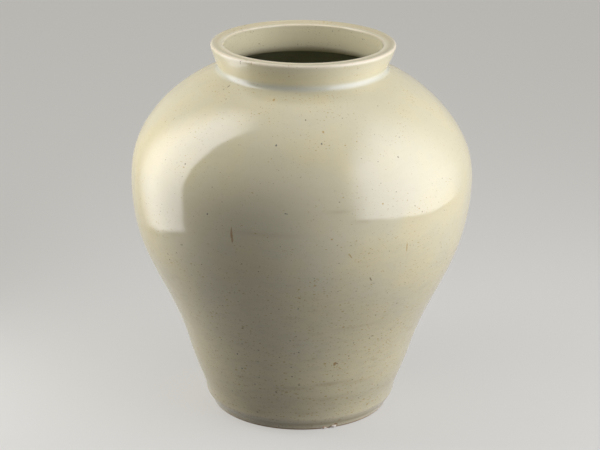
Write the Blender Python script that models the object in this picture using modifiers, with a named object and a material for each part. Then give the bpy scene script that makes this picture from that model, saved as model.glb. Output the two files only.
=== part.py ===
"""A large white porcelain storage jar: a tapering body, a high round shoulder and a short flared collar.

The potter throws it in four sections and lutes them together with slip before the one firing. Each
section is its own solid here: foot_ring, lower_body, upper_body and neck_collar. They meet on keyed
joints, with the slip line left as a thin gap.

Lengths are in metres, +Z is up, and the origin is the centre of the foot's resting face. An outline
is a list of (radius, height) points that runs down the outer side and is turned about Z.
"""

import math

import bpy
import numpy as np

# Whole jar
JAR_HEIGHT = 0.350
FACETS = 64  # round every turned section
WALL_SPACING = 0.0125  # between the outline points of a wall
SLIP_GAP = 0.0003  # the slip line between two sections

# Outer wall, (height, radius), from above the foot to where it meets the collar
WALL_KNOTS = (
    (0.0120, 0.0895),
    (0.0220, 0.0916),
    (0.0380, 0.0974),
    (0.0600, 0.1048),
    (0.0900, 0.1152),
    (0.1200, 0.1288),
    (0.1520, 0.1440),
    (0.1860, 0.1551),
    (0.2200, 0.1589),
    (0.2500, 0.1547),
    (0.2740, 0.1428),
    (0.2940, 0.1261),
    (0.3110, 0.1053),
    (0.3230, 0.0836),
    (0.32645, 0.0755),
)
WALL_AT_FOOT = 0.0090  # thickness, thinning evenly upwards
WALL_AT_TOP = 0.0070
BELLY_RIDGE = 0.0012  # how far the luted seam swells inwards
BELLY_RIDGE_SPREAD = 0.012
TOP_THINNING = 0.0026  # how much thinner the wall gets towards the collar
TOP_THINNING_SPREAD = 0.030

# Foot ring
FOOT_HEIGHT = 0.0060
FOOT_REST_OUTER = 0.0814
FOOT_REST_INNER = 0.0762
FOOT_BEVEL = 0.0009
FOOT_SIDE = ((0.0840, 0.0036), (0.0831, 0.0018))  # outer side, (radius, height)
FOOT_KEY_RADIUS = 0.0795
FOOT_KEY_HEIGHT = 0.0015
RECESS_RADIUS = 0.0738
GROOVE_RADIUS = 0.0853  # the tooled line between the foot ring and the wall
TURN_UNDER = ((0.0884, 0.0105), (0.0870, 0.0085))  # the wall's foot, (radius, height), above the groove

# Floor
FLOOR_UNDERSIDE = 0.0074
FLOOR_DOME = 0.0010  # how much higher the underside is at its middle
FLOOR_CHAMFER = 0.0015
FLOOR_TOP = 0.0165
FLOOR_FILLET = 0.016

# Belly joint, at the widest height
BELLY_SEAM = 0.2220
BELLY_KEY_HEIGHT = 0.0022

# Collar, seated in the shoulder's opening
LIP_RADIUS = 0.0853
LIP_OUTER_ROUNDING = 0.0022
LIP_INNER_ROUNDING = 0.0030
NECK_FLARE = 0.51  # how much the collar's side bulges from a straight cone
NECK_STEPS = (0.40, 0.60, 0.80)  # along the collar's side, from crease to lip
CREASE_ROUNDING = 0.0050
BORE_TOP = 0.0728
BORE_THROAT = 0.0724
SEAT_HEIGHT = 0.3266
SPIGOT_RADIUS = 0.0759
SPIGOT_BOTTOM = 0.3230
THROAT_HEIGHT = 0.3269
THROAT_ROUNDING = 0.0030

# Finishes, as linear colours
GLAZE = (0.67, 0.62, 0.47)
GLAZE_ROUGHNESS = 0.12
COLLAR_GLAZE = (0.64, 0.61, 0.48)  # thicker, so a little greener
BISCUIT = (0.56, 0.46, 0.33)
BISCUIT_ROUGHNESS = 0.75

SHARP_ANGLE = math.radians(32)  # an edge that bends more than this is shaded as a corner
MERGE_WITHIN = 0.00005  # draws the points that lie on the axis together


def natural_spline(knots):
    """The smooth function through (place, value) knots, with straight ends."""
    places, values = np.array(knots).T
    steps = np.diff(places)
    slopes = np.diff(values) / steps
    system = np.eye(len(places))
    right_side = np.zeros(len(places))
    for i in range(1, len(places) - 1):
        system[i, i - 1 : i + 2] = steps[i - 1], 2 * (steps[i - 1] + steps[i]), steps[i]
        right_side[i] = 6 * (slopes[i] - slopes[i - 1])
    bends = np.linalg.solve(system, right_side)

    def value(place):
        i = int(np.clip(np.searchsorted(places, place) - 1, 0, len(steps) - 1))
        after, before = place - places[i], places[i + 1] - place
        curve = (bends[i] * before**3 + bends[i + 1] * after**3) / (6 * steps[i])
        start = (values[i] / steps[i] - bends[i] * steps[i] / 6) * before
        end = (values[i + 1] / steps[i] - bends[i + 1] * steps[i] / 6) * after
        return float(curve + start + end)

    return value


outer_radius = natural_spline(WALL_KNOTS)


def wall_heights(low, high):
    """Heights from low to high whose outer wall points lie evenly spaced along the wall."""
    heights = np.linspace(low, high, 400)
    radii = [outer_radius(height) for height in heights]
    lengths = np.hypot(np.diff(heights), np.diff(radii))
    along = np.concatenate([[0], np.cumsum(lengths)])
    pieces = round(along[-1] / WALL_SPACING)
    return np.interp(np.linspace(0, along[-1], pieces + 1), along, heights)


def wall_thickness(height):
    upward = height / JAR_HEIGHT
    even = WALL_AT_FOOT + (WALL_AT_TOP - WALL_AT_FOOT) * upward
    ridge = BELLY_RIDGE * math.exp(-(((height - BELLY_SEAM) / BELLY_RIDGE_SPREAD) ** 2))
    below_top = (WALL_KNOTS[-1][0] - height) / TOP_THINNING_SPREAD
    return even + ridge - TOP_THINNING * math.exp(-(below_top**2))


def inside(height):
    """The point of the inner wall that lies square in from the outer wall's point at this height."""
    step = 0.0005
    slope = (outer_radius(height + step) - outer_radius(height - step)) / (2 * step)
    depth = wall_thickness(height) / math.hypot(1, slope)
    return outer_radius(height) - depth, height + depth * slope


def fillet(before, corner, after, rounding):
    """Centre, start angle and end angle of the arc that rounds a corner between two straight runs."""
    before, corner, after = (np.array(point) for point in (before, corner, after))
    back = (before - corner) / np.linalg.norm(before - corner)
    onward = (after - corner) / np.linalg.norm(after - corner)
    half_angle = math.acos(float(np.clip(back @ onward, -1, 1))) / 2
    middle = (back + onward) / np.linalg.norm(back + onward)
    centre = corner + middle * rounding / math.sin(half_angle)
    angles = []
    for run in (back, onward):
        r, z = corner + run * rounding / math.tan(half_angle) - centre
        angles.append(math.atan2(z, r))
    start, end = angles
    end += 2 * math.pi * round((start - end) / (2 * math.pi))
    return centre, start, end


def arc(centre, rounding, start, end, pieces):
    """Points along an arc, both ends among them."""
    angles = np.linspace(start, end, pieces + 1)
    return [(centre[0] + rounding * math.cos(a), centre[1] + rounding * math.sin(a)) for a in angles]


def rounded_corner(before, corner, after, rounding, pieces=3):
    centre, start, end = fillet(before, corner, after, rounding)
    return arc(centre, rounding, start, end, pieces)


def key(radius, height, depth, gap=0.0):
    """A V-shaped key on a joint face, (outer, tip, inner). A gap makes the groove that takes it."""
    half_width = depth + gap * (math.sqrt(2) - 1)
    return [
        (radius + half_width, height + gap),
        (radius, height + depth + gap * math.sqrt(2)),
        (radius - half_width, height + gap),
    ]


def neck_point(step):
    """A point on the collar's flared side, from 0 at the crease to 1 at the lip."""
    crease_height, crease_radius = WALL_KNOTS[-1]
    flare = step + NECK_FLARE * step * (1 - step)
    height = crease_height + (JAR_HEIGHT - crease_height) * step
    return crease_radius + (LIP_RADIUS - crease_radius) * flare, height


def crease_arc():
    """Centre, start angle and end angle of the arc that rounds the crease, from shoulder to collar."""
    shoulder_height = WALL_KNOTS[-2][0]
    shoulder = (outer_radius(shoulder_height), shoulder_height)
    return fillet(shoulder, neck_point(0), neck_point(NECK_STEPS[0] / 2), CREASE_ROUNDING)


def crease_angle(height):
    """The angle at which the crease's arc passes a height."""
    centre = crease_arc()[0]
    return -math.pi - math.asin((height - centre[1]) / CREASE_ROUNDING)


def height_reached(run, radius):
    """Height at which the straight run through two points, carried on, reaches a radius."""
    (first_radius, first_height), (last_radius, last_height) = run
    slope = (last_height - first_height) / (last_radius - first_radius)
    return last_height + (radius - last_radius) * slope


def foot_ring_outline():
    side = [(GROOVE_RADIUS, FOOT_HEIGHT), *FOOT_SIDE]
    rest = [(FOOT_REST_OUTER, 0), (FOOT_REST_INNER, 0), (FOOT_REST_INNER - FOOT_BEVEL, FOOT_BEVEL)]
    recess = [(RECESS_RADIUS, FOOT_HEIGHT)]
    return side + rest + recess + key(FOOT_KEY_RADIUS, FOOT_HEIGHT, FOOT_KEY_HEIGHT)[::-1]


def lower_body_outline():
    floor_corner = (inside(FLOOR_TOP)[0], FLOOR_TOP)
    inner_heights = wall_heights(FLOOR_TOP + FLOOR_FILLET, BELLY_SEAM)[1:-1]
    floor = rounded_corner((0, FLOOR_TOP), floor_corner, inside(inner_heights[0]), FLOOR_FILLET, 5)
    inner_wall = [inside(height) for height in inner_heights]
    seam_inner = inside(BELLY_SEAM)[0]
    seam_outer = outer_radius(BELLY_SEAM)
    belly_key = key((seam_inner + seam_outer) / 2, BELLY_SEAM, BELLY_KEY_HEIGHT)[::-1]
    outer_heights = wall_heights(WALL_KNOTS[0][0], BELLY_SEAM)[::-1]
    outer_wall = [(outer_radius(height), height) for height in outer_heights]
    foot_joint = FOOT_HEIGHT + SLIP_GAP
    turn_under = [*TURN_UNDER, (GROOVE_RADIUS, foot_joint)]
    foot_groove = key(FOOT_KEY_RADIUS, FOOT_HEIGHT, FOOT_KEY_HEIGHT, SLIP_GAP)
    underside = [
        (RECESS_RADIUS, foot_joint),
        (RECESS_RADIUS - FLOOR_CHAMFER, FLOOR_UNDERSIDE),
        (0, FLOOR_UNDERSIDE + FLOOR_DOME),
    ]
    return (
        [(0, FLOOR_TOP)]
        + floor
        + inner_wall
        + [(seam_inner, BELLY_SEAM)]
        + belly_key
        + outer_wall
        + turn_under
        + foot_groove
        + underside
    )


def upper_body_outline():
    ledge = SEAT_HEIGHT - SLIP_GAP
    hole = SPIGOT_RADIUS + SLIP_GAP
    centre, start, _ = crease_arc()
    crease = arc(centre, CREASE_ROUNDING, crease_angle(ledge), start, 3)
    heights = wall_heights(BELLY_SEAM, WALL_KNOTS[-2][0])[1:-1]
    outer_wall = [(outer_radius(height), height) for height in heights[::-1]]
    seam_height = BELLY_SEAM + SLIP_GAP
    seam_inner = inside(BELLY_SEAM)[0]
    seam_outer = outer_radius(BELLY_SEAM)
    belly_groove = key((seam_inner + seam_outer) / 2, BELLY_SEAM, BELLY_KEY_HEIGHT, SLIP_GAP)
    inner_wall = [inside(height) for height in heights]
    opening = [(hole, height_reached(inner_wall[-2:], hole)), (hole, ledge)]
    return (
        crease
        + outer_wall
        + [(seam_outer, seam_height)]
        + belly_groove
        + [(seam_inner, seam_height)]
        + inner_wall
        + opening
    )


def neck_collar_outline():
    centre, _, end = crease_arc()
    top_inner = BORE_TOP + LIP_INNER_ROUNDING
    lip_outer = rounded_corner(
        (top_inner, JAR_HEIGHT), (LIP_RADIUS, JAR_HEIGHT), neck_point(NECK_STEPS[-1]), LIP_OUTER_ROUNDING
    )
    side = [neck_point(step) for step in reversed(NECK_STEPS)]
    crease = arc(centre, CREASE_ROUNDING, end, crease_angle(SEAT_HEIGHT), 3)
    spigot = [(SPIGOT_RADIUS, SEAT_HEIGHT), (SPIGOT_RADIUS, SPIGOT_BOTTOM)]
    throat_corner = (BORE_THROAT, THROAT_HEIGHT - THROAT_ROUNDING)
    throat = rounded_corner(spigot[-1], throat_corner, (BORE_THROAT, THROAT_HEIGHT), THROAT_ROUNDING)
    lip_inner = rounded_corner(
        (BORE_THROAT, THROAT_HEIGHT), (BORE_TOP, JAR_HEIGHT), (LIP_RADIUS, JAR_HEIGHT), LIP_INNER_ROUNDING
    )
    return lip_outer + side + crease + spigot + throat + lip_inner


def porcelain(name, colour, roughness):
    material = bpy.data.materials.new(name)
    material.use_nodes = True
    surface = material.node_tree.nodes["Principled BSDF"]
    surface.inputs["Base Color"].default_value = (*colour, 1)
    surface.inputs["Roughness"].default_value = roughness
    surface.inputs["Metallic"].default_value = 0
    material.diffuse_color = (*colour, 1)
    return material


def turned(name, outline, material, collection):
    """The solid made by turning an outline about Z. An outline that leaves the axis is a closed ring."""
    edges = [(i, i + 1) for i in range(len(outline) - 1)]
    if outline[0][0] > 0:
        edges.append((len(outline) - 1, 0))
    profile = bpy.data.meshes.new(name + "_outline")
    profile.from_pydata([(radius, 0, height) for radius, height in outline], edges, [])
    piece = bpy.data.objects.new(name, profile)
    collection.objects.link(piece)
    screw = piece.modifiers.new("Turn", "SCREW")
    screw.steps = screw.render_steps = FACETS
    screw.use_merge_vertices = True
    screw.merge_threshold = MERGE_WITHIN
    solid = bpy.data.meshes.new_from_object(piece.evaluated_get(bpy.context.evaluated_depsgraph_get()))
    solid.name = name
    solid.shade_smooth()
    solid.set_sharp_from_angle(angle=SHARP_ANGLE)
    solid.materials.clear()
    solid.materials.append(material)
    piece.modifiers.clear()
    piece.data = solid
    bpy.data.meshes.remove(profile)
    return piece


def clear_scene():
    for thing in list(bpy.data.objects):
        bpy.data.objects.remove(thing, do_unlink=True)


def main():
    clear_scene()
    jar = bpy.data.collections.new("porcelain_jar")
    bpy.context.scene.collection.children.link(jar)
    sections = (
        ("foot_ring", foot_ring_outline(), ("foot_biscuit", BISCUIT, BISCUIT_ROUGHNESS)),
        ("lower_body", lower_body_outline(), ("wall_glaze", GLAZE, GLAZE_ROUGHNESS)),
        ("upper_body", upper_body_outline(), ("shoulder_glaze", GLAZE, GLAZE_ROUGHNESS)),
        ("neck_collar", neck_collar_outline(), ("collar_glaze", COLLAR_GLAZE, GLAZE_ROUGHNESS)),
    )
    for name, outline, finish in sections:
        turned(name, outline, porcelain(*finish), jar)


main()
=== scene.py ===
import math

import bmesh
import bpy
import numpy as np
from mathutils import Matrix, Vector, noise


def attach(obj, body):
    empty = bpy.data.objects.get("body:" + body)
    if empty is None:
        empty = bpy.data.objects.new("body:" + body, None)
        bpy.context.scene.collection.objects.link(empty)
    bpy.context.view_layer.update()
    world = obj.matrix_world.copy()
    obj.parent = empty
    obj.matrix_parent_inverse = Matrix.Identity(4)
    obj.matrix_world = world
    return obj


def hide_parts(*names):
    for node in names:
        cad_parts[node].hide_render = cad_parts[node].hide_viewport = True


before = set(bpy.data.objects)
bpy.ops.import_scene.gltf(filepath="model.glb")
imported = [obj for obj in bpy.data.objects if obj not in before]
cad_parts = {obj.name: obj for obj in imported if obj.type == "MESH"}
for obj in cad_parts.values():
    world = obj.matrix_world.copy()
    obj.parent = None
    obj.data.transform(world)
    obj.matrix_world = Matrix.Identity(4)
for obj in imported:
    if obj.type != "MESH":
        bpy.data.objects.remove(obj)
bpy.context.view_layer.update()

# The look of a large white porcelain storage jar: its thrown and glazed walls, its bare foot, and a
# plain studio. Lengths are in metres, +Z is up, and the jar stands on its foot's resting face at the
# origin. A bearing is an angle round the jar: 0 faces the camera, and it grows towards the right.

# The photograph
PHOTO_WIDTH = 600  # pixels
FOCAL_LENGTH = 2162  # pixels
SENSOR_WIDTH = 36.0  # millimetres
CAMERA_BACK = 1.9146
CAMERA_HEIGHT = 0.8452
CAMERA_ASIDE = -0.0011
CAMERA_DOWN = math.radians(19.345)
CAMERA_ROLL = math.radians(0.43)
CAMERA_REACH = 50

# Whole jar
JAR_HEIGHT = 0.350
COLUMNS = 320  # mesh columns round every turned piece
ROW = 0.0015  # between mesh rows on the surfaces that show
HIDDEN_ROW = 0.004  # on joint faces
THIN_ROW = 0.00015  # the last row before a joint, so that both sections shade alike there
SHARP_ANGLE = math.radians(32)
SLOPE_STEP = 0.0005  # half the height over which the outer wall's slope is taken
TOUCHING = 1e-7  # points nearer than this are one
WALL_POINTS = 600  # of an outline before it is cut into rows
NECK_POINTS = 60
CURVE_POINTS = 33
LIP_POINTS = 20

# Outer wall, (height, radius), from above the foot to where it meets the collar
WALL_KNOTS = (
    (0.0120, 0.0895),
    (0.0220, 0.0916),
    (0.0380, 0.0974),
    (0.0600, 0.1048),
    (0.0900, 0.1152),
    (0.1200, 0.1288),
    (0.1520, 0.1440),
    (0.1860, 0.1551),
    (0.2200, 0.1589),
    (0.2500, 0.1547),
    (0.2740, 0.1428),
    (0.2940, 0.1261),
    (0.3110, 0.1053),
    (0.3230, 0.0836),
    (0.32645, 0.0755),
)
WALL_AT_FOOT = 0.0090  # thickness, thinning evenly upwards
WALL_AT_TOP = 0.0070
BELLY_RIDGE = 0.0012  # how far the luted seam swells inwards
BELLY_RIDGE_SPREAD = 0.012
TOP_THINNING = 0.0026  # how much thinner the wall gets towards the collar
TOP_THINNING_SPREAD = 0.030

# Foot ring, points as (radius, height)
FOOT_HEIGHT = 0.0060
FOOT_SIDE = (
    (0.0853, 0.0060),
    (0.0846, 0.0049),
    (0.0840, 0.0036),
    (0.0833, 0.0020),
    (0.0825, 0.0008),
    (0.0814, 0.0),
)
FOOT_REST_INNER = 0.0762
FOOT_BEVEL = 0.0009
FOOT_KEY_RADIUS = 0.0795
FOOT_KEY_HEIGHT = 0.0015
RECESS_RADIUS = 0.0738
TURN_UNDER = ((0.0895, 0.0128), (0.0886, 0.0110), (0.0872, 0.0088), (0.0853, 0.0060))
WALL_FOOT = 0.0150  # where the wall starts to turn under

# Floor
FLOOR_UNDERSIDE = 0.0074
FLOOR_DOME = 0.0010
FLOOR_CHAMFER = 0.0015
FLOOR_TOP = 0.0165
FLOOR_FILLET = 0.016

# Belly joint
BELLY_SEAM = 0.2220
BELLY_KEY_HEIGHT = 0.0022

# Collar
LIP_RADIUS = 0.0853
LIP_OUTER_ROUNDING = 0.0022
LIP_INNER_ROUNDING = 0.0016
LIP_DISH = 0.00020  # how far the lip's top sinks between its two arrises
LIP_LEAN = 0.0019  # how much lower its inner arris lies at the back, and half as much at the sides
LEAN_RADII = (0.0835, 0.0750)  # the lean grows from the first to the second
LEAN_HEIGHTS = (0.3360, 0.3490)
LIP_TOP_ABOVE = 0.348  # a row above this height is on the lip's top
BORE_WITHIN = 0.0757  # and one within this radius is in the bore
NECK_FLARE = 0.51
NECK_LOW, NECK_HIGH = 0.2, 0.8  # steps up the neck's side that give its roundings their directions
CREASE_ROUNDING = 0.0050
BORE_TOP = 0.0728
BORE_THROAT = 0.0724
SEAT_HEIGHT = 0.3266
SPIGOT_RADIUS = 0.0759
THROAT_HEIGHT = 0.3278  # where the bore starts to open out below the collar
THROAT_PULLS = (0.0018, 0.0030)  # how hard the throat's curve follows the shoulder, then the bore

# How the wheel's centre wanders with height, (height, sideways), as the jar's outline shows
CENTRE_DRIFT = (
    (0.000, -0.0002),
    (0.040, 0.0001),
    (0.090, 0.0005),
    (0.140, 0.0004),
    (0.180, -0.0001),
    (0.220, 0.0),
    (0.250, -0.0001),
    (0.270, -0.0007),
    (0.295, -0.0009),
    (0.315, -0.0005),
    (0.350, 0.0007),
)


def natural_spline(knots):
    """The smooth function through (place, value) knots, with straight ends. It takes arrays."""
    places, values = np.array(knots).T
    steps = np.diff(places)
    slopes = np.diff(values) / steps
    system = np.eye(len(places))
    right_side = np.zeros(len(places))
    for i in range(1, len(places) - 1):
        system[i, i - 1 : i + 2] = steps[i - 1], 2 * (steps[i - 1] + steps[i]), steps[i]
        right_side[i] = 6 * (slopes[i] - slopes[i - 1])
    bends = np.linalg.solve(system, right_side)

    def value(place):
        i = np.clip(np.searchsorted(places, place) - 1, 0, len(steps) - 1)
        after, before = place - places[i], places[i + 1] - place
        curve = (bends[i] * before**3 + bends[i + 1] * after**3) / (6 * steps[i])
        start = (values[i] / steps[i] - bends[i] * steps[i] / 6) * before
        end = (values[i + 1] / steps[i] - bends[i + 1] * steps[i] / 6) * after
        return curve + start + end

    return value


outer_radius = natural_spline(WALL_KNOTS)
centre_drift = natural_spline(CENTRE_DRIFT)


def lengths_along(points):
    """How far along a chain of points each one lies."""
    return np.concatenate([[0], np.cumsum(np.linalg.norm(np.diff(points, axis=0), axis=1))])


def spaced(points, spacing):
    """The same chain with points evenly spaced, both ends kept, and a thin row beside each end."""
    points = np.array(points, float)
    along = lengths_along(points)
    whole = along[-1]
    places = np.linspace(0, whole, max(round(whole / spacing), 1) + 1)
    if whole > 4 * THIN_ROW:
        places = np.concatenate([[0, THIN_ROW], places[1:-1], [whole - THIN_ROW, whole]])
    return np.stack([np.interp(places, along, points[:, axis]) for axis in (0, 1)], 1)


def smooth_chain(points, pieces=8):
    """A smooth curve through (radius, height) points."""
    points = np.array(points, float)
    along = lengths_along(points)
    places = np.linspace(0, along[-1], pieces * (len(points) - 1) + 1)
    curves = [natural_spline(list(zip(along, points[:, axis]))) for axis in (0, 1)]
    return np.stack([curve(places) for curve in curves], 1)


def wall_thickness(height):
    upward = height / JAR_HEIGHT
    even = WALL_AT_FOOT + (WALL_AT_TOP - WALL_AT_FOOT) * upward
    ridge = BELLY_RIDGE * np.exp(-(((height - BELLY_SEAM) / BELLY_RIDGE_SPREAD) ** 2))
    below_top = (WALL_KNOTS[-1][0] - height) / TOP_THINNING_SPREAD
    return even + ridge - TOP_THINNING * np.exp(-(below_top**2))


def inside(height):
    """The points of the inner wall that lie square in from the outer wall's points."""
    rise = outer_radius(height + SLOPE_STEP) - outer_radius(height - SLOPE_STEP)
    slope = rise / (2 * SLOPE_STEP)
    depth = wall_thickness(height) / np.hypot(1, slope)
    return np.stack([outer_radius(height) - depth, height + depth * slope], -1)


def outer_wall(low, high):
    """The outer wall's outline from high down to low."""
    heights = np.linspace(high, low, WALL_POINTS)
    return np.stack([outer_radius(heights), heights], 1)


def inner_wall(low, high):
    """The inner wall's outline from low up to high, both heights taken on the outer wall."""
    return inside(np.linspace(low, high, WALL_POINTS))


def fillet(before, corner, after, rounding):
    """Centre, start angle and end angle of the arc that rounds a corner between two straight runs."""
    before, corner, after = (np.array(point, float) for point in (before, corner, after))
    back = (before - corner) / np.linalg.norm(before - corner)
    onward = (after - corner) / np.linalg.norm(after - corner)
    half_angle = math.acos(float(np.clip(back @ onward, -1, 1))) / 2
    middle = (back + onward) / np.linalg.norm(back + onward)
    centre = corner + middle * rounding / math.sin(half_angle)
    angles = []
    for run in (back, onward):
        r, z = corner + run * rounding / math.tan(half_angle) - centre
        angles.append(math.atan2(z, r))
    start, end = angles
    end += 2 * math.pi * round((start - end) / (2 * math.pi))
    return centre, start, end


def arc(centre, rounding, start, end, pieces=24):
    angles = np.linspace(start, end, pieces + 1)
    return np.stack([centre[0] + rounding * np.cos(angles), centre[1] + rounding * np.sin(angles)], 1)


def rounded_corner(before, corner, after, rounding):
    centre, start, end = fillet(before, corner, after, rounding)
    return arc(centre, rounding, start, end)


def key(radius, height, depth):
    """A V-shaped key on a joint face, from its outer edge to its inner edge."""
    return [(radius + depth, height), (radius, height + depth), (radius - depth, height)]


def neck_side(high, low):
    """The collar's flared side, from one step down to another, 1 at the lip and 0 at the crease."""
    crease_height, crease_radius = WALL_KNOTS[-1]
    step = np.linspace(high, low, NECK_POINTS)
    flare = step + NECK_FLARE * step * (1 - step)
    height = crease_height + (JAR_HEIGHT - crease_height) * step
    return np.stack([crease_radius + (LIP_RADIUS - crease_radius) * flare, height], 1)


def crease_arc():
    """Centre, start angle and end angle of the arc that rounds the crease, from shoulder to collar."""
    shoulder_height = WALL_KNOTS[-2][0]
    shoulder = (float(outer_radius(shoulder_height)), shoulder_height)
    return fillet(shoulder, neck_side(0, 0)[0], neck_side(NECK_LOW, NECK_LOW)[0], CREASE_ROUNDING)


def crease_angle(height):
    centre = crease_arc()[0]
    return -math.pi - math.asin((height - centre[1]) / CREASE_ROUNDING)


def falling_from(start, chain):
    """A start point, and the part of a falling chain that lies below it."""
    return np.concatenate([[start], chain[chain[:, 1] < start[1]]])


def curve_between(start, start_pull, end_pull, end):
    """A curve that leaves its start and reaches its end in the directions of its two pulls."""
    step = np.linspace(0, 1, CURVE_POINTS)[:, None]
    start, end = np.array(start), np.array(end)
    first, second = start + start_pull, end - end_pull
    back = 1 - step
    return start * back**3 + 3 * first * back**2 * step + 3 * second * back * step**2 + end * step**3


def shoulder_inside():
    """The shoulder's inner wall, from the belly seam up to the edge of the collar's opening."""
    wall = inner_wall(BELLY_SEAM, WALL_KNOTS[-1][0])
    edge = np.interp(-SPIGOT_RADIUS, -wall[:, 0], wall[:, 1])
    return np.concatenate([wall[wall[:, 0] > SPIGOT_RADIUS], [(SPIGOT_RADIUS, edge)]])


# How much of the outer swells and of the inner rings each stretch of an outline takes
OUTER, INNER = (1.0, 0.0), (0.0, 1.0)
HIDDEN = (math.nan, math.nan)  # worked out from the stretches beside it


def outline(*stretches):
    """Joins (points, spacing, share) stretches into rows of radius, height, outer and inner share.

    Stretches share their ends. A hidden one leaves both of its ends to its neighbours, and passes from
    the share of the one to that of the other, so that two sections meet without a step.
    """
    rows = []
    for points, spacing, share in stretches:
        chain = spaced(points, spacing)
        if share is HIDDEN:
            chain = chain[1:-1]
        rows.append(np.column_stack([chain, np.tile(share, (len(chain), 1))]))
    rows = np.concatenate(rows)
    rows = rows[np.linalg.norm(rows[:, :2] - np.roll(rows[:, :2], 1, axis=0), axis=1) > TOUCHING]
    ring = np.concatenate([rows, rows[:1]])
    along = lengths_along(ring[:, :2])
    shown = ~np.isnan(ring[:, 2])
    for column in (2, 3):
        rows[:, column] = np.interp(along[:-1], along[shown], ring[shown, column])
    return rows


def foot_ring_outline():
    side = smooth_chain(FOOT_SIDE)
    rest = [FOOT_SIDE[-1], (FOOT_REST_INNER, 0), (FOOT_REST_INNER - FOOT_BEVEL, FOOT_BEVEL)]
    recess = [rest[-1], (RECESS_RADIUS, FOOT_HEIGHT)]
    joint = [recess[-1], *key(FOOT_KEY_RADIUS, FOOT_HEIGHT, FOOT_KEY_HEIGHT)[::-1], FOOT_SIDE[0]]
    return outline(
        (side, ROW / 3, OUTER), (rest, ROW / 2, OUTER), (recess, ROW, INNER), (joint, HIDDEN_ROW, HIDDEN)
    )


def lower_body_outline():
    floor_corner = (inside(FLOOR_TOP)[0], FLOOR_TOP)
    wall_start = FLOOR_TOP + FLOOR_FILLET
    floor = [(0, FLOOR_TOP)] + list(
        rounded_corner((0, FLOOR_TOP), floor_corner, inside(wall_start), FLOOR_FILLET)
    )
    inner = [tuple(floor[-1])] + list(inner_wall(wall_start, BELLY_SEAM)[1:])
    seam_inner, seam_outer = inside(BELLY_SEAM)[0], outer_radius(BELLY_SEAM)
    inner[-1] = (seam_inner, BELLY_SEAM)
    belly_joint = [
        (seam_inner, BELLY_SEAM),
        *key((seam_inner + seam_outer) / 2, BELLY_SEAM, BELLY_KEY_HEIGHT)[::-1],
        (seam_outer, BELLY_SEAM),
    ]
    outer = outer_wall(WALL_FOOT, BELLY_SEAM)
    lead_in = (outer_radius(WALL_FOOT + 2 * ROW), WALL_FOOT + 2 * ROW)
    turn_under = falling_from(outer[-1], smooth_chain([lead_in, outer[-1], *TURN_UNDER]))
    foot_joint = [
        TURN_UNDER[-1],
        *key(FOOT_KEY_RADIUS, FOOT_HEIGHT, FOOT_KEY_HEIGHT),
        (RECESS_RADIUS, FOOT_HEIGHT),
    ]
    underside = [
        (RECESS_RADIUS, FOOT_HEIGHT),
        (RECESS_RADIUS - FLOOR_CHAMFER, FLOOR_UNDERSIDE),
        (0, FLOOR_UNDERSIDE + FLOOR_DOME),
    ]
    return outline(
        (floor, 2 * ROW, INNER),
        (inner, 2 * ROW, INNER),
        (belly_joint, HIDDEN_ROW, HIDDEN),
        (outer, ROW, OUTER),
        (turn_under, ROW / 3, OUTER),
        (foot_joint, HIDDEN_ROW, HIDDEN),
        (underside, 2 * ROW, INNER),
    )


def upper_body_outline():
    centre, start, _ = crease_arc()
    crease = arc(centre, CREASE_ROUNDING, crease_angle(SEAT_HEIGHT), start)
    outer = falling_from(crease[-1], outer_wall(BELLY_SEAM, WALL_KNOTS[-2][0]))
    seam_inner, seam_outer = inside(BELLY_SEAM)[0], outer_radius(BELLY_SEAM)
    belly_joint = [
        (seam_outer, BELLY_SEAM),
        *key((seam_inner + seam_outer) / 2, BELLY_SEAM, BELLY_KEY_HEIGHT),
        (seam_inner, BELLY_SEAM),
    ]
    inner = shoulder_inside()
    inner[0] = seam_inner, BELLY_SEAM
    opening = [inner[-1], (SPIGOT_RADIUS, SEAT_HEIGHT), crease[0]]
    return outline(
        (crease, ROW / 3, OUTER),
        (outer, ROW, OUTER),
        (belly_joint, HIDDEN_ROW, HIDDEN),
        (inner, 2 * ROW, INNER),
        (opening, HIDDEN_ROW, HIDDEN),
    )


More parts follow.
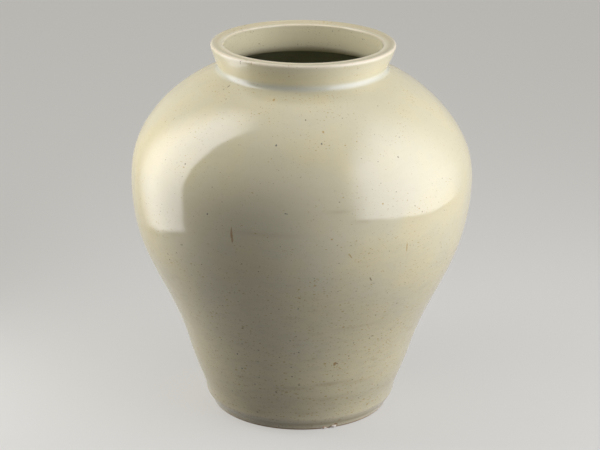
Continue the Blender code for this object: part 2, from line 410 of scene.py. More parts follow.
def neck_collar_outline():
    centre, _, end = crease_arc()
    top_inner = BORE_TOP + LIP_INNER_ROUNDING
    below_lip = neck_side(NECK_HIGH, NECK_HIGH)[0]
    lip_outer = rounded_corner(
        (top_inner, JAR_HEIGHT), (LIP_RADIUS, JAR_HEIGHT), below_lip, LIP_OUTER_ROUNDING
    )
    crease = arc(centre, CREASE_ROUNDING, end, crease_angle(SEAT_HEIGHT))
    side = neck_side(1, 0)
    side = side[(side[:, 1] < lip_outer[-1][1]) & (side[:, 1] > crease[0][1])]
    side = np.concatenate([[lip_outer[-1]], side, [crease[0]]])
    shoulder = shoulder_inside()
    spigot = [crease[-1], (SPIGOT_RADIUS, SEAT_HEIGHT), shoulder[-1]]
    along_shoulder = (shoulder[-1] - shoulder[-3]) / np.linalg.norm(shoulder[-1] - shoulder[-3])
    bore_start = (BORE_THROAT, THROAT_HEIGHT)
    lip_inner = rounded_corner(
        bore_start, (BORE_TOP, JAR_HEIGHT), (LIP_RADIUS, JAR_HEIGHT), LIP_INNER_ROUNDING
    )
    pulls = along_shoulder * THROAT_PULLS[0], np.array([0, THROAT_PULLS[1]])
    throat = curve_between(shoulder[-1], *pulls, bore_start)
    bore = np.concatenate([throat, lip_inner[:1]])
    across = np.linspace(0, 1, LIP_POINTS)[:, None]
    lip_top = lip_inner[-1] * (1 - across) + lip_outer[0] * across
    lip_top[:, 1] -= LIP_DISH * np.sin(math.pi * across[:, 0]) ** 2
    lip = np.concatenate([lip_inner, lip_top[1:-1], lip_outer])
    return outline(
        (lip, ROW / 4, OUTER),
        (side, ROW / 2, OUTER),
        (crease, ROW / 3, OUTER),
        (spigot, HIDDEN_ROW, HIDDEN),
        (bore, ROW / 2, OUTER),
    )


# Kiln sand stuck to the foot ring: (bearing in degrees, height, size)
GRIT = (
    (14.6, 0.0011, 0.0012),
    (15.9, 0.0015, 0.0030),
    (16.6, 0.0009, 0.0011),
    (20.2, 0.0013, 0.0014),
    (20.6, 0.0019, 0.0022),
    (21.9, 0.0023, 0.0040),
    (24.1, 0.0022, 0.0016),
    (-33.5, 0.0011, 0.0011),
    (64.0, 0.0012, 0.0015),
    (131.0, 0.0013, 0.0018),
    (133.0, 0.0010, 0.0011),
    (-118.0, 0.0012, 0.0014),
)
GRIT_CLEARANCE = 0.0001  # above the table
GRIT_STRETCH = (1.45, 0.75, 0.65)  # along the foot, outwards and upwards
GRIT_LUMPS = 1.7  # how many across a grain, roughly
GRIT_LUMPINESS = 0.45

# The potter's unevenness. A wave is (rounds per turn, wavelength in height, amplitude, phase), and a
# ring is (height, spread, amount outwards).
SWELLS = (
    (2, 0.210, 0.00022, 0.4),
    (3, 0.120, 0.00014, 2.1),
    (-2, 0.085, 0.00008, 4.4),
    (5, 0.061, 0.00004, 1.3),
    (-4, 0.043, 0.00003, 5.2),
    (1, 0.0265, 0.00003, 0.9),
    (7, 0.034, 0.000018, 3.3),
)
OUTER_RINGS = (
    (0.2180, 0.034, -0.00048),
    (0.2215, 0.004, 0.00003),
    (0.2030, 0.003, 0.00003),
    (0.1640, 0.004, -0.00004),
    (0.1290, 0.004, 0.00005),
    (0.1010, 0.003, -0.00004),
    (0.0710, 0.006, -0.00012),
    (0.0580, 0.006, 0.00012),
    (0.0400, 0.004, 0.00006),
)
INNER_RINGS = ((1, 0.0105, 0.00028, 0.0), (-1, 0.027, 0.00015, 1.7), (3, 0.075, 0.0002, 0.6))

# Heights over which the unevenness comes in above the foot and the floor, dies out inside the throat,
# and calms down by these shares towards the collar
FOOT_CALM = (0.0, 0.03)
FLOOR_CALM = (0.016, 0.03)
THROAT_CALM = (0.31, 0.32)
COLLAR_CALM = (0.32, 0.34)
SWELLS_CALMED = 0.7
UNDULATIONS_CALMED = 0.5

# Where the glaze gathers, with painted shade in the crease; where it is stained, with painted shade in the
# foot's groove; where it thins, with painted highlights on the lip's arrises; and where the bore has
# painted light, as rings of (radius, height, spread, amount)
POOLS_AND_SHADE = (
    # The crease under the collar: glaze pooled there, darker and bluer, partly painted shade where shade
    # falls in the crease
    (0.0772, 0.3278, 0.0036, 1.0),
    (0.0700, 0.0180, 0.0120, 0.5),
)
STAIN_AND_SHADE_RINGS = (
    (0.0787, 0.3500, 0.0030, 0.85),
    # Painted shade: darkens the foot's groove, where shade falls, with the brown of a stain
    (0.0862, 0.0068, 0.0022, 0.75),
    (0.0955, 0.0330, 0.0040, 0.10),
)
THIN_AND_HIGHLIT_ARRISES = (
    # The lip's outer and inner arrises: thin glaze, painted lighter also as a painted highlight
    (0.0842, 0.3492, 0.0014, 1.0),
    (0.0736, 0.3494, 0.0011, 1.0),
    (0.0893, 0.0124, 0.0022, 0.3),
    (0.0835, 0.0026, 0.0014, 0.5),
)
# Painted light: the bore's walls are painted lighter than the glaze
BORE_PAINTED_LIGHT_RINGS = ((0.0726, 0.3440, 0.0080, 1.0), (0.0725, 0.3330, 0.0070, 0.8))

# Level brown stains on the outer wall: (bearing in degrees, height, half width, half height, amount)
STAINS = (
    (-2.6, 0.0505, 0.0120, 0.0020, 0.50),
    (13.0, 0.0540, 0.0110, 0.0020, 0.60),
    (20.0, 0.0550, 0.0120, 0.0018, 0.35),
    (31.0, 0.0520, 0.0120, 0.0020, 0.40),
    (15.8, 0.0372, 0.0140, 0.0020, 0.35),
    (21.0, 0.1180, 0.0200, 0.0016, 0.30),
    (4.0, 0.0210, 0.0110, 0.0030, 0.45),
    (-26.0, 0.0190, 0.0100, 0.0030, 0.40),
    (12.0, 0.2390, 0.0110, 0.0018, 0.45),
    (20.0, 0.2290, 0.0090, 0.0016, 0.40),
    (-12.0, 0.2185, 0.0300, 0.0022, 0.35),
    (95.0, 0.0440, 0.0200, 0.0024, 0.50),
    (150.0, 0.0350, 0.0150, 0.0022, 0.45),
    (-140.0, 0.0410, 0.0220, 0.0026, 0.50),
    (-80.0, 0.0380, 0.0160, 0.0022, 0.45),
    (-110.0, 0.2200, 0.0260, 0.0020, 0.35),
    (160.0, 0.2210, 0.0280, 0.0020, 0.35),
)

MOSTLY_OUTER = 0.9  # rows with this share of the outer swells or more take the stains

# Small undulations of the glaze, each a slope of about this much, running every way round the wall
UNDULATION_SIZES = (0.012, 0.030)
UNDULATION_SLOPE = 0.0016
UNDULATION_COUNT = 28
UNDULATION_SEED = 7


def waves(bearing, height, rows):
    total = 0
    for turns, wavelength, amplitude, phase in rows:
        total = total + amplitude * np.cos(turns * bearing + 2 * math.pi * height / wavelength + phase)
    return total


def undulations():
    """Waves in random directions, as rows for waves()."""
    draws = np.random.default_rng(UNDULATION_SEED)
    belly_radius = max(radius for _, radius in WALL_KNOTS)
    rows = []
    for _ in range(UNDULATION_COUNT):
        length = draws.uniform(*UNDULATION_SIZES)
        heading, phase = draws.uniform(0, 2 * math.pi, 2)
        turns = round(2 * math.pi * belly_radius / length * math.cos(heading))
        amplitude = UNDULATION_SLOPE * length / (2 * math.pi)
        rows.append((turns, length / math.sin(heading), amplitude, phase))
    return rows


def settle(place, start, end):
    """Rises smoothly from 0 at a start to 1 at an end, which may lie below the start."""
    step = np.clip((place - start) / (end - start), 0, 1)
    return step * step * (3 - 2 * step)


def ring_swell(height):
    """How far the throwing and trimming rings push the outer wall out."""
    return sum(amount * np.exp(-(((height - at) / spread) ** 2)) for at, spread, amount in OUTER_RINGS)


def lip_lean(bearing, radius, height):
    """How far the lip's inner half is pressed down, from nothing in front to the most at the back."""
    inwards = settle(radius, *LEAN_RADII) * settle(height, *LEAN_HEIGHTS)
    on_lip = (height > LIP_TOP_ABOVE) | (radius < BORE_WITHIN)
    return LIP_LEAN * (1 - np.cos(bearing)) / 2 * inwards * on_lip


def near_rings(rows, rings):
    """How near each outline row is to a list of rings, from 0 to about 1."""
    total = np.zeros(len(rows))
    for radius, height, spread, amount in rings:
        apart = np.hypot(rows[:, 0] - radius, rows[:, 1] - height)
        total += amount * np.exp(-((apart / spread) ** 2))
    return total


def near_stains_and_shade(bearing, rows):
    """How stained each point of a turned piece is, with the painted shade of the foot's groove, one row of
    points for each outline row.
    """
    radius, height, outer = (column[:, None] for column in rows.T[:3])
    total = near_rings(rows, STAIN_AND_SHADE_RINGS)[:, None] * np.ones(bearing.shape)
    for at, middle, half_width, half_height, amount in STAINS:
        turn = (bearing - math.radians(at) + math.pi) % (2 * math.pi) - math.pi
        reach = (turn * radius / half_width) ** 2 + ((height - middle) / half_height) ** 2
        total = total + amount * np.exp(-reach) * (outer > MOSTLY_OUTER)
    return total


def turned(name, rows, material):
    """The closed mesh of an outline turned about Z, with the potter's unevenness."""
    on_axis = rows[:, 0] < TOUCHING
    ring_rows = rows[~on_axis]
    bearing = np.linspace(0, 2 * math.pi, COLUMNS, endpoint=False)[None, :]
    radius, height, outer, inner = (column[:, None] for column in ring_rows.T)
    near_collar = settle(height, *COLLAR_CALM)
    swell = waves(bearing, height, SWELLS) * (1 - SWELLS_CALMED * near_collar) + ring_swell(height)
    swell = swell + waves(bearing, height, undulations()) * (1 - UNDULATIONS_CALMED * near_collar)
    rings = waves(bearing, height, INNER_RINGS) * settle(height, *THROAT_CALM[::-1])
    radii = radius + outer * swell * settle(height, *FOOT_CALM)
    radii = radii + inner * rings * settle(height, *FLOOR_CALM)
    x = radii * np.sin(bearing) + centre_drift(height)
    y = -radii * np.cos(bearing)
    z = height - lip_lean(bearing, radius, height)
    points = np.stack([x, y, z], -1).reshape(-1, 3)
    ring_count = len(ring_rows)
    column = np.arange(COLUMNS)
    onward = (column + 1) % COLUMNS
    closed_ring = not on_axis.any()
    faces = []
    for row in range(ring_count if closed_ring else ring_count - 1):
        here, there = row * COLUMNS, ((row + 1) % ring_count) * COLUMNS
        faces += np.stack([here + column, there + column, there + onward, here + onward], 1).tolist()
    if not closed_ring:
        first_pole, last_pole = len(points), len(points) + 1
        drift = float(centre_drift(0.0))
        points = np.concatenate([points, [[drift, 0, rows[0, 1]], [drift, 0, rows[-1, 1]]]])
        last = (ring_count - 1) * COLUMNS
        faces += [[first_pole, int(a), int(b)] for a, b in zip(column, onward)]
        faces += [[last_pole, int(last + b), int(last + a)] for a, b in zip(column, onward)]
    mesh = bpy.data.meshes.new(name)
    mesh.from_pydata(points.tolist(), [], faces)
    # Tints per point: stains with painted shade in the foot's groove, painted shade on the inner walls,
    # pooled glaze with painted shade in the crease, thin glaze with painted highlights on the lip's
    # arrises, and painted light in the bore
    shades = {
        "stained_and_shaded": near_stains_and_shade(bearing, ring_rows).ravel(),
        "inside": np.repeat(ring_rows[:, 3], COLUMNS),
    }
    for attribute, near in (("pooled_and_shaded", POOLS_AND_SHADE), ("thinned_and_highlit", THIN_AND_HIGHLIT_ARRISES), ("bore_painted_light", BORE_PAINTED_LIGHT_RINGS)):
        shades[attribute] = np.repeat(near_rings(ring_rows, near), COLUMNS)
    for attribute, shade in shades.items():
        values = np.zeros(len(points), np.float32)
        values[: ring_count * COLUMNS] = shade
        mesh.attributes.new(attribute, "FLOAT", "POINT").data.foreach_set("value", values)
    mesh.shade_smooth()
    mesh.set_sharp_from_angle(angle=SHARP_ANGLE)
    mesh.materials.append(material)
    piece = bpy.data.objects.new(name, mesh)
    bpy.context.scene.collection.objects.link(piece)
    return piece


# Finishes, as linear colours
GLAZE_WARM = (0.765, 0.665, 0.399)
GLAZE_COOL = (0.718, 0.648, 0.430)
GLAZE_MOTTLED = (0.640, 0.562, 0.358)
# Brown of the stains, also used as painted shade in the foot's groove
GLAZE_STAIN_AND_SHADE = (0.520, 0.400, 0.210)
# Pooled glaze: partly its own bluish colour, partly painted shade in the crease
GLAZE_POOLED_AND_SHADED = (0.460, 0.520, 0.500)
# Thin glaze, whitened as a painted highlight on the lip's arrises
GLAZE_THIN_AND_HIGHLIT = (0.930, 0.800, 0.600)
# Painted shade: a darker tint on every inner wall, inside the jar and in the foot's recess
GLAZE_INSIDE_SHADE = (0.500, 0.500, 0.360)
# Painted light for the bore's walls
GLAZE_PAINTED_LIGHT = (0.960, 0.865, 0.570)
OCHRE = (0.480, 0.300, 0.060)
RUST = (0.380, 0.165, 0.040)
CRACK = (0.420, 0.235, 0.085)
CHIP = (0.360, 0.190, 0.030)
BROWN = (0.200, 0.125, 0.045)
IRON = (0.035, 0.028, 0.020)
BISCUIT = (0.560, 0.460, 0.330)
SAND = (0.760, 0.660, 0.540)
GRIT_WHITE = (0.900, 0.850, 0.780)
GLAZE_IOR = 1.60

# How each ring of the lists above is coloured, with its painted shade, painted highlights and painted
# light, and the inner wall, whose darker tint is painted shade: (attribute, most of the tint, tint)
GLAZE_RINGS = (
    ("inside", 1.0, GLAZE_INSIDE_SHADE),
    ("pooled_and_shaded", 0.60, GLAZE_POOLED_AND_SHADED),
    ("stained_and_shaded", 0.80, GLAZE_STAIN_AND_SHADE),
    ("bore_painted_light", 0.95, GLAZE_PAINTED_LIGHT),
    ("thinned_and_highlit", 0.75, GLAZE_THIN_AND_HIGHLIT),
)

# The glaze's patterns. A noise is (size of its features, detail, roughness), and a pair of values is
# where something starts and where it is complete, or what it comes to at the two ends.
LOWNESS_HEIGHTS = (0.30, 0.04)  # from the look of the shoulder to the look of the foot
STREAK_SQUEEZE = (1, 1, 3.2)  # flattens a pattern into level streaks
CLOUDS = (0.060, 3.0, 0.55)
CLOUDS_COOL = (0.35, 0.65)
COOLING_BY_LOWNESS = (-0.06, 0.14)  # taken off the clouds' coolness
COLLAR_HEIGHTS = (0.318, 0.330)
COLLAR_COOLNESS = 0.20
MOTTLING = (0.014, 4.0, 0.62)
MOTTLING_RANGE = (0.38, 0.75)
MOTTLING_MOST = 0.45
MOTTLING_BY_LOWNESS = (0.35, 1.0)
STAINING = (0.024, 5.0, 0.68)
STAINING_RANGE = (0.56, 0.80)
STAINING_MOST = 0.55
SWARMS = (0.040, 3.0, 0.6)
SWARMS_RANGE = (0.36, 0.66)
SWARMS_CROWDING = (-0.24, 0.26)
CROWDING_BY_LOWNESS = (0.53, 1.06)
SPECK_WOBBLE = (0.0012, 0.0008)  # size and amount
SPECK_EDGE = (1.0, 0.30)  # parts of its radius, from the rim inwards
FLAW_EDGE = (1.0, 0.50)
FLAW_STRENGTH = 0.85
FLAW_DEPTH = 0.008  # how far a flaw reaches to each side of the surface
GLOSS_RANGE = (0.3, 0.7)  # of the clouds
GLAZE_ROUGHNESS = (0.075, 0.11)
MARK_ROUGHNESS = 0.25
PIT_DEPTH = 0.00003
PEEL = (0.0038, 2.0)
PEEL_HEIGHT = 0.00006

# The bare foot
BARE_HEIGHTS = (0.0021, 0.0012)
BARE_RADII = (0.0822, 0.0816)
BARE_WOBBLE = (0.004, 0.0012)
RUSTY_HEIGHTS = (0.0001, 0.0006)
RUSTY_MOST = 0.85
CLAY_GRAIN = (0.0007, 3.0, 0.7)
CLAY_GRAIN_RANGE = (0.35, 0.7)
CLAY_GRAIN_HEIGHT = 0.0001
FOOT_ROUGHNESS = (0.12, 0.85)  # glazed and bare

# Kiln sand
SAND_GRAIN = (0.0006, 3.0, 0.7)
SAND_GRAIN_RANGE = (0.3, 0.7)
SAND_GRAIN_HEIGHT = 0.0002
SAND_ROUGHNESS = (0.35, 0.6)
SAND_STAIN = (0.0016, 2.0)
SAND_STAIN_RANGE = (0.50, 0.70)
SAND_STAIN_MOST = 0.7

# Specks in the glaze: (cell size, largest radius, flatness, colour, strength)
SPECKS = (
    (0.0040, 0.00090, 1.8, OCHRE, 0.75),
    (0.0070, 0.00160, 3.0, OCHRE, 0.70),
    (0.0125, 0.00165, 1.7, OCHRE, 0.80),
    (0.0170, 0.00120, 1.2, BROWN, 0.75),
    (0.0420, 0.00095, 1.0, IRON, 0.85),
)

# The flaws that stand out: (colour, bearing in degrees, height, half width, half height, tilt in degrees)
FLAWS = (
    (CRACK, -22.5, 0.2170, 0.0010, 0.0065, 3),
    (CRACK, -22.2, 0.2118, 0.0012, 0.0055, 0),
    (CHIP, 16.4, 0.0768, 0.0017, 0.0028, 18),
    (IRON, -9.5, 0.2906, 0.0010, 0.0009, 0),
    (IRON, 8.1, 0.2920, 0.0009, 0.0009, 0),
    (IRON, -31.2, 0.2301, 0.0009, 0.0010, 0),
    (IRON, -4.8, 0.2380, 0.0020, 0.0006, 8),
    (BROWN, -43.5, 0.2665, 0.0010, 0.0009, 0),
    (IRON, -30.9, 0.0819, 0.0009, 0.0009, 0),
    (BROWN, 2.0, 0.3082, 0.0008, 0.0007, 0),
    (BROWN, -51.3, 0.1782, 0.0010, 0.0010, 0),
    (BROWN, -42.5, 0.1940, 0.0022, 0.0006, -12),
    (BROWN, -45.8, 0.1837, 0.0009, 0.0008, 0),
    (BROWN, 37.0, 0.2762, 0.0009, 0.0009, 0),
    (OCHRE, 9.3, 0.3001, 0.0012, 0.0010, 0),
    (OCHRE, 26.9, 0.2420, 0.0012, 0.0010, 0),
    (OCHRE, 9.6, 0.2149, 0.0012, 0.0010, 0),
    (OCHRE, 36.4, 0.1977, 0.0007, 0.0055, -3),
    (OCHRE, 15.9, 0.1979, 0.0007, 0.0035, -35),
    (BROWN, 23.9, 0.1718, 0.0008, 0.0030, -30),
    (OCHRE, -15.8, 0.3197, 0.0013, 0.0010, 0),
    (BROWN, -50.7, 0.3226, 0.0011, 0.0009, 30),
    (BROWN, -12.7, 0.0450, 0.0013, 0.0009, 0),
    (BROWN, -4.1, 0.0639, 0.0012, 0.0009, 10),
    (BROWN, 32.3, 0.1031, 0.0018, 0.0007, -8),
)

# Rust bled from the sand on the foot ring, in the same terms
FOOT_FLAWS = (
    (RUST, 23.6, 0.0044, 0.0030, 0.0014, 20),
    (RUST, 20.6, 0.0030, 0.0012, 0.0010, 0),
    (RUST, 15.6, 0.0027, 0.0014, 0.0008, 0),
)


class Wiring:
    """A material's nodes, added and wired with one call each. An input is a value or another output."""

    def __init__(self, name):
        self.material = bpy.data.materials.new(name)
        self.material.use_nodes = True
        self.nodes = self.material.node_tree.nodes
        self.links = self.material.node_tree.links
        self.surface = self.nodes["Principled BSDF"]
        coordinates = self.add("TexCoord")
        self.place = coordinates.outputs["Object"]
        self.outward = coordinates.outputs["Normal"]

    def feed(self, socket, value):
        if isinstance(value, bpy.types.NodeSocket):
            self.links.new(value, socket)
        elif isinstance(value, tuple) and socket.type == "RGBA":
            socket.default_value = (*value, 1)
        else:
            socket.default_value = value

    def add(self, kind, inputs=(), **settings):
        node = self.nodes.new("ShaderNode" + kind)
        for name, value in settings.items():
            setattr(node, name, value)
        for key_name, value in dict(inputs).items():
            self.feed(node.inputs[key_name], value)
        return node

    def maths(self, operation, first, second=0.0):
        return self.add("Math", {0: first, 1: second}, operation=operation).outputs[0]

    def vector(self, operation, first, second=(0.0, 0.0, 0.0), output="Vector"):
        return self.add("VectorMath", {0: first, 1: second}, operation=operation).outputs[output]

    def scaled(self, vector, amount):
        return self.add("VectorMath", {0: vector, "Scale": amount}, operation="SCALE").outputs["Vector"]

    def ramp(self, value, start, end, low=0.0, high=1.0):
        inputs = {"Value": value, "From Min": start, "From Max": end, "To Min": low, "To Max": high}
        return self.add("MapRange", inputs, interpolation_type="SMOOTHSTEP").outputs["Result"]

    def noise(self, size, detail=2.0, roughness=0.5, place=None):
        """Noise about 0.5, with features of the given size."""
        inputs = {"Vector": place or self.place, "Scale": 1 / size}
        inputs.update({"Detail": detail, "Roughness": roughness})
        return self.add("TexNoise", inputs).outputs[0]

    def blend(self, factor, first, second):
        node = self.add("Mix", data_type="RGBA")
        self.feed(node.inputs[0], factor)
        self.feed(node.inputs[6], first)
        self.feed(node.inputs[7], second)
        return node.outputs[2]

    def attribute(self, name):
        return self.add("Attribute", attribute_name=name).outputs["Fac"]


def speck_mask(wiring, place, cell, radius, flatness, crowding):
    """Specks that lie in the surface, one in each cell of the given size, larger where crowding is high."""
    cells = wiring.add("TexVoronoi", {"Vector": place, "Scale": 1 / cell})
    chance = wiring.add("SeparateColor", {0: cells.outputs["Color"]}).outputs["Red"]
    away = wiring.vector("SUBTRACT", place, cells.outputs["Position"])
    depth = wiring.vector("DOT_PRODUCT", away, wiring.outward, "Value")
    level = wiring.vector("SUBTRACT", away, wiring.scaled(wiring.outward, depth))
    distance = wiring.vector("LENGTH", wiring.vector("MULTIPLY", level, (1, 1, flatness)), output="Value")
    reach = wiring.maths("MULTIPLY", wiring.maths("MULTIPLY", chance, crowding), radius)
    return wiring.ramp(wiring.maths("DIVIDE", distance, reach), *SPECK_EDGE)


def flaw_mask(wiring, place, bearing, height, half_width, half_height, tilt):
    """An oval patch on the outer wall, with its own half sizes."""
    angle = math.radians(bearing)
    radius = float(outer_radius(height))
    centre = (
        radius * math.sin(angle) + float(centre_drift(height)),
        -radius * math.cos(angle),
        height,
    )
    inputs = {
        "Vector": place,
        "Location": centre,
        "Rotation": (0, math.radians(tilt), angle),
        "Scale": (half_width, FLAW_DEPTH, half_height),
    }
    local = wiring.add("Mapping", inputs, vector_type="TEXTURE").outputs["Vector"]
    distance = wiring.vector("LENGTH", local, output="Value")
    return wiring.ramp(distance, *FLAW_EDGE, high=FLAW_STRENGTH)


def wobbled(wiring, size, amount):
    """The place, moved about a little, so that specks and edges drawn with it come out uneven."""
    inputs = {"Vector": wiring.place, "Scale": 1 / size, "Detail": 1.0}
    noise = wiring.add("TexNoise", inputs).outputs["Color"]
    centred = wiring.vector("SUBTRACT", noise, (0.5, 0.5, 0.5))
    return wiring.vector("ADD", wiring.place, wiring.scaled(centred, amount))


def glaze_look(wiring, flaws=()):
    """The glaze's colour, roughness and relief, as outputs."""
    height = wiring.add("SeparateXYZ", {0: wiring.place}).outputs["Z"]
    lowness = wiring.ramp(height, *LOWNESS_HEIGHTS)
    streaks = wiring.vector("MULTIPLY", wiring.place, STREAK_SQUEEZE)
    clouds = wiring.noise(*CLOUDS)
    coolness = wiring.maths("SUBTRACT", clouds, wiring.ramp(lowness, 0.0, 1.0, *COOLING_BY_LOWNESS))
    collar = wiring.ramp(height, *COLLAR_HEIGHTS, high=COLLAR_COOLNESS)
    coolness = wiring.maths("ADD", coolness, collar)
    colour = wiring.blend(wiring.ramp(coolness, *CLOUDS_COOL), GLAZE_WARM, GLAZE_COOL)
    mottling = wiring.ramp(wiring.noise(*MOTTLING, streaks), *MOTTLING_RANGE, high=MOTTLING_MOST)
    mottling = wiring.maths("MULTIPLY", mottling, wiring.ramp(lowness, 0.0, 1.0, *MOTTLING_BY_LOWNESS))
    colour = wiring.blend(mottling, colour, GLAZE_MOTTLED)
    stains = wiring.ramp(wiring.noise(*STAINING, streaks), *STAINING_RANGE, high=STAINING_MOST)
    colour = wiring.blend(wiring.maths("MULTIPLY", stains, lowness), colour, GLAZE_STAIN_AND_SHADE)
    # The rings' tints, with painted shade in the crease, the foot's groove and the inner walls, painted
    # highlights on the lip's arrises and painted light in the bore
    for attribute, most, tint in GLAZE_RINGS:
        colour = wiring.blend(wiring.maths("MULTIPLY", wiring.attribute(attribute), most), colour, tint)
    uneven = wobbled(wiring, *SPECK_WOBBLE)
    swarms = wiring.ramp(wiring.noise(*SWARMS, streaks), *SWARMS_RANGE, *SWARMS_CROWDING)
    crowding = wiring.maths("ADD", wiring.ramp(lowness, 0.0, 1.0, *CROWDING_BY_LOWNESS), swarms)
    marks = 0.0
    for cell, radius, flatness, speck_colour, strength in SPECKS:
        mask = speck_mask(wiring, uneven, cell, radius, flatness, crowding)
        mask = wiring.maths("MULTIPLY", mask, strength)
        colour = wiring.blend(mask, colour, speck_colour)
        marks = wiring.maths("MAXIMUM", marks, mask)
    pits = wiring.maths("MULTIPLY", marks, -PIT_DEPTH)
    for flaw_colour, *shape in flaws:
        mask = flaw_mask(wiring, uneven, *shape)
        colour = wiring.blend(mask, colour, flaw_colour)
        marks = wiring.maths("MAXIMUM", marks, mask)
    mark_roughness = wiring.maths("MULTIPLY", marks, MARK_ROUGHNESS)
    roughness = wiring.maths("ADD", wiring.ramp(clouds, *GLOSS_RANGE, *GLAZE_ROUGHNESS), mark_roughness)
    peel = wiring.maths("MULTIPLY", wiring.noise(*PEEL), PEEL_HEIGHT)
    return colour, roughness, wiring.maths("ADD", peel, pits)


def grit_material():
    wiring = Wiring("kiln_sand")
    grain = wiring.noise(*SAND_GRAIN)
    stain = wiring.ramp(wiring.noise(*SAND_STAIN), *SAND_STAIN_RANGE, high=SAND_STAIN_MOST)
    colour = wiring.blend(stain, wiring.blend(grain, SAND, GRIT_WHITE), RUST)
    roughness = wiring.ramp(grain, *SAND_GRAIN_RANGE, *SAND_ROUGHNESS)
    return finish(wiring, colour, roughness, wiring.maths("MULTIPLY", grain, SAND_GRAIN_HEIGHT))


def finish(wiring, colour, roughness, relief):
    bump = wiring.add("Bump", {"Height": relief, "Distance": 1.0, "Strength": 1.0})
    wiring.feed(wiring.surface.inputs["Base Color"], colour)
    wiring.feed(wiring.surface.inputs["Roughness"], roughness)
    wiring.feed(wiring.surface.inputs["Normal"], bump.outputs["Normal"])
    return wiring.material


def glaze_material():
    wiring = Wiring("porcelain_glaze")
    wiring.surface.inputs["IOR"].default_value = GLAZE_IOR
    return finish(wiring, *glaze_look(wiring, FLAWS))


def foot_material():
    """The foot ring: glaze on its side, then a rusty line, then bare fired clay where it rests."""
    wiring = Wiring("fired_foot")
    wiring.surface.inputs["IOR"].default_value = GLAZE_IOR
    glaze, glaze_roughness, glaze_relief = glaze_look(wiring, FOOT_FLAWS)
    height = wiring.add("SeparateXYZ", {0: wobbled(wiring, *BARE_WOBBLE)}).outputs["Z"]
    across = wiring.vector("MULTIPLY", wiring.place, (1, 1, 0))
    radius = wiring.vector("LENGTH", across, output="Value")
    bare = wiring.maths("MAXIMUM", wiring.ramp(height, *BARE_HEIGHTS), wiring.ramp(radius, *BARE_RADII))
    rusty = wiring.ramp(height, *RUSTY_HEIGHTS)
    grain = wiring.noise(*CLAY_GRAIN)
    clay = wiring.blend(wiring.ramp(grain, *CLAY_GRAIN_RANGE), BISCUIT, SAND)
    clay = wiring.blend(wiring.maths("MULTIPLY", rusty, RUSTY_MOST), clay, RUST)
    colour = wiring.blend(bare, glaze, clay)
    roughness = wiring.ramp(bare, 0.0, 1.0, *FOOT_ROUGHNESS)
    clay_relief = wiring.maths("MULTIPLY", wiring.maths("MULTIPLY", bare, grain), CLAY_GRAIN_HEIGHT)
    relief = wiring.maths("ADD", glaze_relief, clay_relief)
    return finish(wiring, colour, roughness, relief)


def lump(cloud, bearing, height, size, seed):
    """A grain of sand fused to the foot ring's side, added to a bmesh. The seed shapes it."""
    side = smooth_chain(FOOT_SIDE)
    angle = math.radians(bearing)
    radius = float(np.interp(-height, -side[:, 1], side[:, 0]))
    aside = radius * math.sin(angle) + float(centre_drift(0.0))
    centre = Vector((aside, -radius * math.cos(angle), height))
    turn = Matrix.Rotation(angle, 3, "Z")
    for vertex in bmesh.ops.create_icosphere(cloud, subdivisions=3, radius=1)["verts"]:
        push = 1 + GRIT_LUMPINESS * noise.noise(vertex.co * GRIT_LUMPS + Vector((seed, 0, 0)))
        vertex.co = centre + turn @ (vertex.co * Vector(GRIT_STRETCH) * push * size / 2)
        vertex.co.z = max(vertex.co.z, GRIT_CLEARANCE)


def build_grit():
    """The kiln sand that stuck to the foot."""
    cloud = bmesh.new()
    for seed, (bearing, height, size) in enumerate(GRIT):
        lump(cloud, bearing, height, size, seed)
    mesh = bpy.data.meshes.new("kiln_grit")
    cloud.to_mesh(mesh)
    cloud.free()
    mesh.shade_smooth()
    mesh.materials.append(grit_material())
    piece = bpy.data.objects.new("kiln_grit", mesh)
    bpy.context.scene.collection.objects.link(piece)
    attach(piece, "root")


def build_jar():
    glaze = glaze_material()
    pieces = (
        ("fired_foot", "foot_ring", foot_ring_outline(), "foot_biscuit", foot_material()),
        ("glazed_wall", "lower_body", lower_body_outline(), "glaze", glaze),
        ("glazed_shoulder", "upper_body", upper_body_outline(), "glaze", glaze),
        ("glazed_collar", "neck_collar", neck_collar_outline(), "glaze", glaze),
    )
    for name, node, rows, slot, material in pieces:
        piece = turned(name, rows, material)
        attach(piece, "root")
        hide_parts(node)
    build_grit()


def build_camera():
    lens = bpy.data.cameras.new("camera")
    lens.sensor_width = SENSOR_WIDTH
    lens.lens = FOCAL_LENGTH / PHOTO_WIDTH * SENSOR_WIDTH
    lens.clip_end = CAMERA_REACH
    camera = bpy.data.objects.new("camera", lens)
    camera.rotation_mode = "XYZ"
    camera.location = (CAMERA_ASIDE, -CAMERA_BACK, CAMERA_HEIGHT)
    camera.rotation_euler = (math.pi / 2 - CAMERA_DOWN, 0, 0)
    camera.rotation_euler.rotate_axis("Z", CAMERA_ROLL)
    bpy.context.scene.collection.objects.link(camera)
    bpy.context.scene.camera = camera


def beside(bearing, distance, aside):
    """The point on an upright softbox, aside from the foot of the line that meets the jar's axis."""
    angle = math.radians(bearing)
    return (
        distance * math.sin(angle) + aside * math.cos(angle),
        -distance * math.cos(angle) + aside * math.sin(angle),
    )


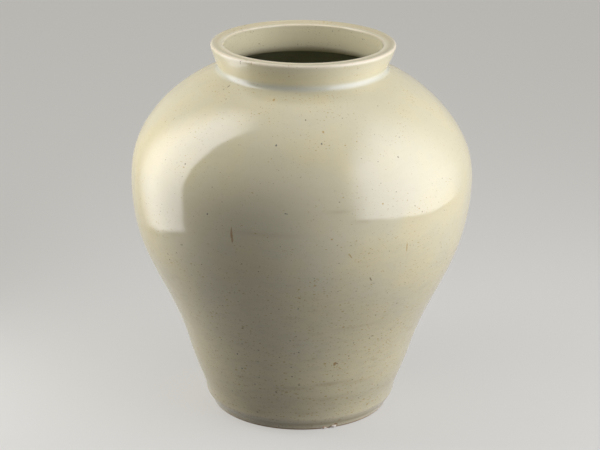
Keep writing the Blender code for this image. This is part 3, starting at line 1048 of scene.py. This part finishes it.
# The studio's softboxes: the centre, the turns about X and Z, the width and height, the widths over which
# the edges fade (left, right, low and high, as seen from behind the softbox), the tint and the brightness
SOFTBOXES = {
    "left_softbox": {
        "centre": (*beside(-102, 0.45, 0.0425), 0.9575),
        "turns": (math.pi / 2, math.radians(-102)),
        "size": (0.445, 1.885),
        "fades": (0.26, 0.03, 0.01, 1.30),
        "tint": (1.0, 1.0, 1.02),
        "brightness": 2.65,
    },
    "left_softbox_middle": {
        "centre": (*beside(-102, 0.451, 0.0425), 0.70),
        "turns": (math.pi / 2, math.radians(-102)),
        "size": (0.445, 1.30),
        "fades": (0.26, 0.03, 0.40, 0.55),
        "tint": (0.97, 1.0, 1.12),
        "brightness": 1.30,
    },
    "right_softbox": {
        "centre": (*beside(93, 0.76, -0.55), 0.985),
        "turns": (math.pi / 2, math.radians(93)),
        "size": (2.10, 1.93),
        "fades": (0.90, 0.80, 0.01, 1.10),
        "tint": (0.975, 1.0, 1.110),
        "brightness": 3.05,
    },
    "overhead_softbox": {
        "centre": (0, 0.25, 2.0),
        "turns": (0, 0),
        "size": (3.2, 3.2),
        "fades": (1.2, 1.2, 1.2, 1.2),
        "tint": (1.0, 1.0, 0.98),
        "brightness": 0.66,
    },
}
FILL = 0.02  # the world's light on the jar
BACKDROP = (0.51, 0.50, 0.47)  # the world as it is seen
FLOOR_COLOUR = (0.27, 0.268, 0.26)
FLOOR_BOUNCE = (0.09, 0.09, 0.09)  # the floor's colour for the light that it throws on the jar
FLOOR_GLOW = (0.42, 0.41, 0.385)
FLOOR_ROUGHNESS = 0.9
FLOOR_REACH = 12


def edge_factors(nodes, links, place, size, near, far):
    """A factor that rises over the near edge of a softbox and one that falls over the far edge."""
    factors = []
    for start, end in ((0, near / size), (1, 1 - far / size)):
        ramp = nodes.new("ShaderNodeMapRange")
        ramp.interpolation_type = "SMOOTHSTEP"
        ramp.inputs["From Min"].default_value = start
        ramp.inputs["From Max"].default_value = end
        links.new(place, ramp.inputs["Value"])
        factors.append(ramp.outputs["Result"])
    return factors


def softbox(name, centre, turns, size, fades, tint, brightness):
    width, height = size
    light = bpy.data.lights.new(name, "AREA")
    light.shape = "RECTANGLE"
    light.size = width
    light.size_y = height
    light.color = tint
    light.energy = brightness * math.pi * width * height
    light.use_nodes = True
    nodes, links = light.node_tree.nodes, light.node_tree.links
    place = nodes.new("ShaderNodeSeparateXYZ")
    links.new(nodes.new("ShaderNodeNewGeometry").outputs["Parametric"], place.inputs["Vector"])
    factors = edge_factors(nodes, links, place.outputs["X"], width, *fades[:2])
    factors += edge_factors(nodes, links, place.outputs["Y"], height, *fades[2:])
    strength = factors[0]
    for factor in factors[1:]:
        product = nodes.new("ShaderNodeMath")
        product.operation = "MULTIPLY"
        links.new(strength, product.inputs[0])
        links.new(factor, product.inputs[1])
        strength = product.outputs["Value"]
    links.new(strength, nodes["Emission"].inputs["Strength"])
    holder = bpy.data.objects.new(name, light)
    holder.location = centre
    holder.rotation_euler = (turns[0], 0, turns[1])
    holder.visible_camera = False
    bpy.context.scene.collection.objects.link(holder)


def as_backdrop(nodes, links):
    """A factor that is 1 for the rays that see the surroundings, and 0 for those that light the jar."""
    path = nodes.new("ShaderNodeLightPath")
    factor = path.outputs["Is Camera Ray"]
    for kind in ("Is Glossy Ray", "Is Transmission Ray"):
        either = nodes.new("ShaderNodeMath")
        either.operation = "MAXIMUM"
        links.new(factor, either.inputs[0])
        links.new(path.outputs[kind], either.inputs[1])
        factor = either.outputs["Value"]
    return factor


def build_floor():
    corners = [(FLOOR_REACH * x, FLOOR_REACH * y, 0) for x, y in ((-1, -1), (1, -1), (1, 1), (-1, 1))]
    mesh = bpy.data.meshes.new("floor")
    mesh.from_pydata(corners, [], [(0, 1, 2, 3)])
    material = bpy.data.materials.new("floor_paper")
    material.use_nodes = True
    nodes, links = material.node_tree.nodes, material.node_tree.links
    surface = nodes["Principled BSDF"]
    seen = as_backdrop(nodes, links)
    colour = nodes.new("ShaderNodeMix")
    colour.data_type = "RGBA"
    links.new(seen, colour.inputs[0])
    colour.inputs[6].default_value = (*FLOOR_BOUNCE, 1)
    colour.inputs[7].default_value = (*FLOOR_COLOUR, 1)
    links.new(colour.outputs[2], surface.inputs["Base Color"])
    surface.inputs["Roughness"].default_value = FLOOR_ROUGHNESS
    surface.inputs["Emission Color"].default_value = (*FLOOR_GLOW, 1)
    links.new(seen, surface.inputs["Emission Strength"])
    mesh.materials.append(material)
    floor = bpy.data.objects.new("floor", mesh)
    bpy.context.scene.collection.objects.link(floor)


def build_world():
    world = bpy.data.worlds.new("studio")
    world.use_nodes = True
    nodes, links = world.node_tree.nodes, world.node_tree.links
    colour = nodes.new("ShaderNodeMix")
    colour.data_type = "RGBA"
    links.new(as_backdrop(nodes, links), colour.inputs[0])
    colour.inputs[6].default_value = (FILL, FILL, FILL, 1)
    colour.inputs[7].default_value = (*BACKDROP, 1)
    links.new(colour.outputs[2], nodes["Background"].inputs["Color"])
    bpy.context.scene.world = world


def build_studio():
    for name, settings in SOFTBOXES.items():
        softbox(name, **settings)
    build_world()
    build_floor()


build_jar()
build_camera()
build_studio()
bpy.context.scene.view_settings.view_transform = "Standard"
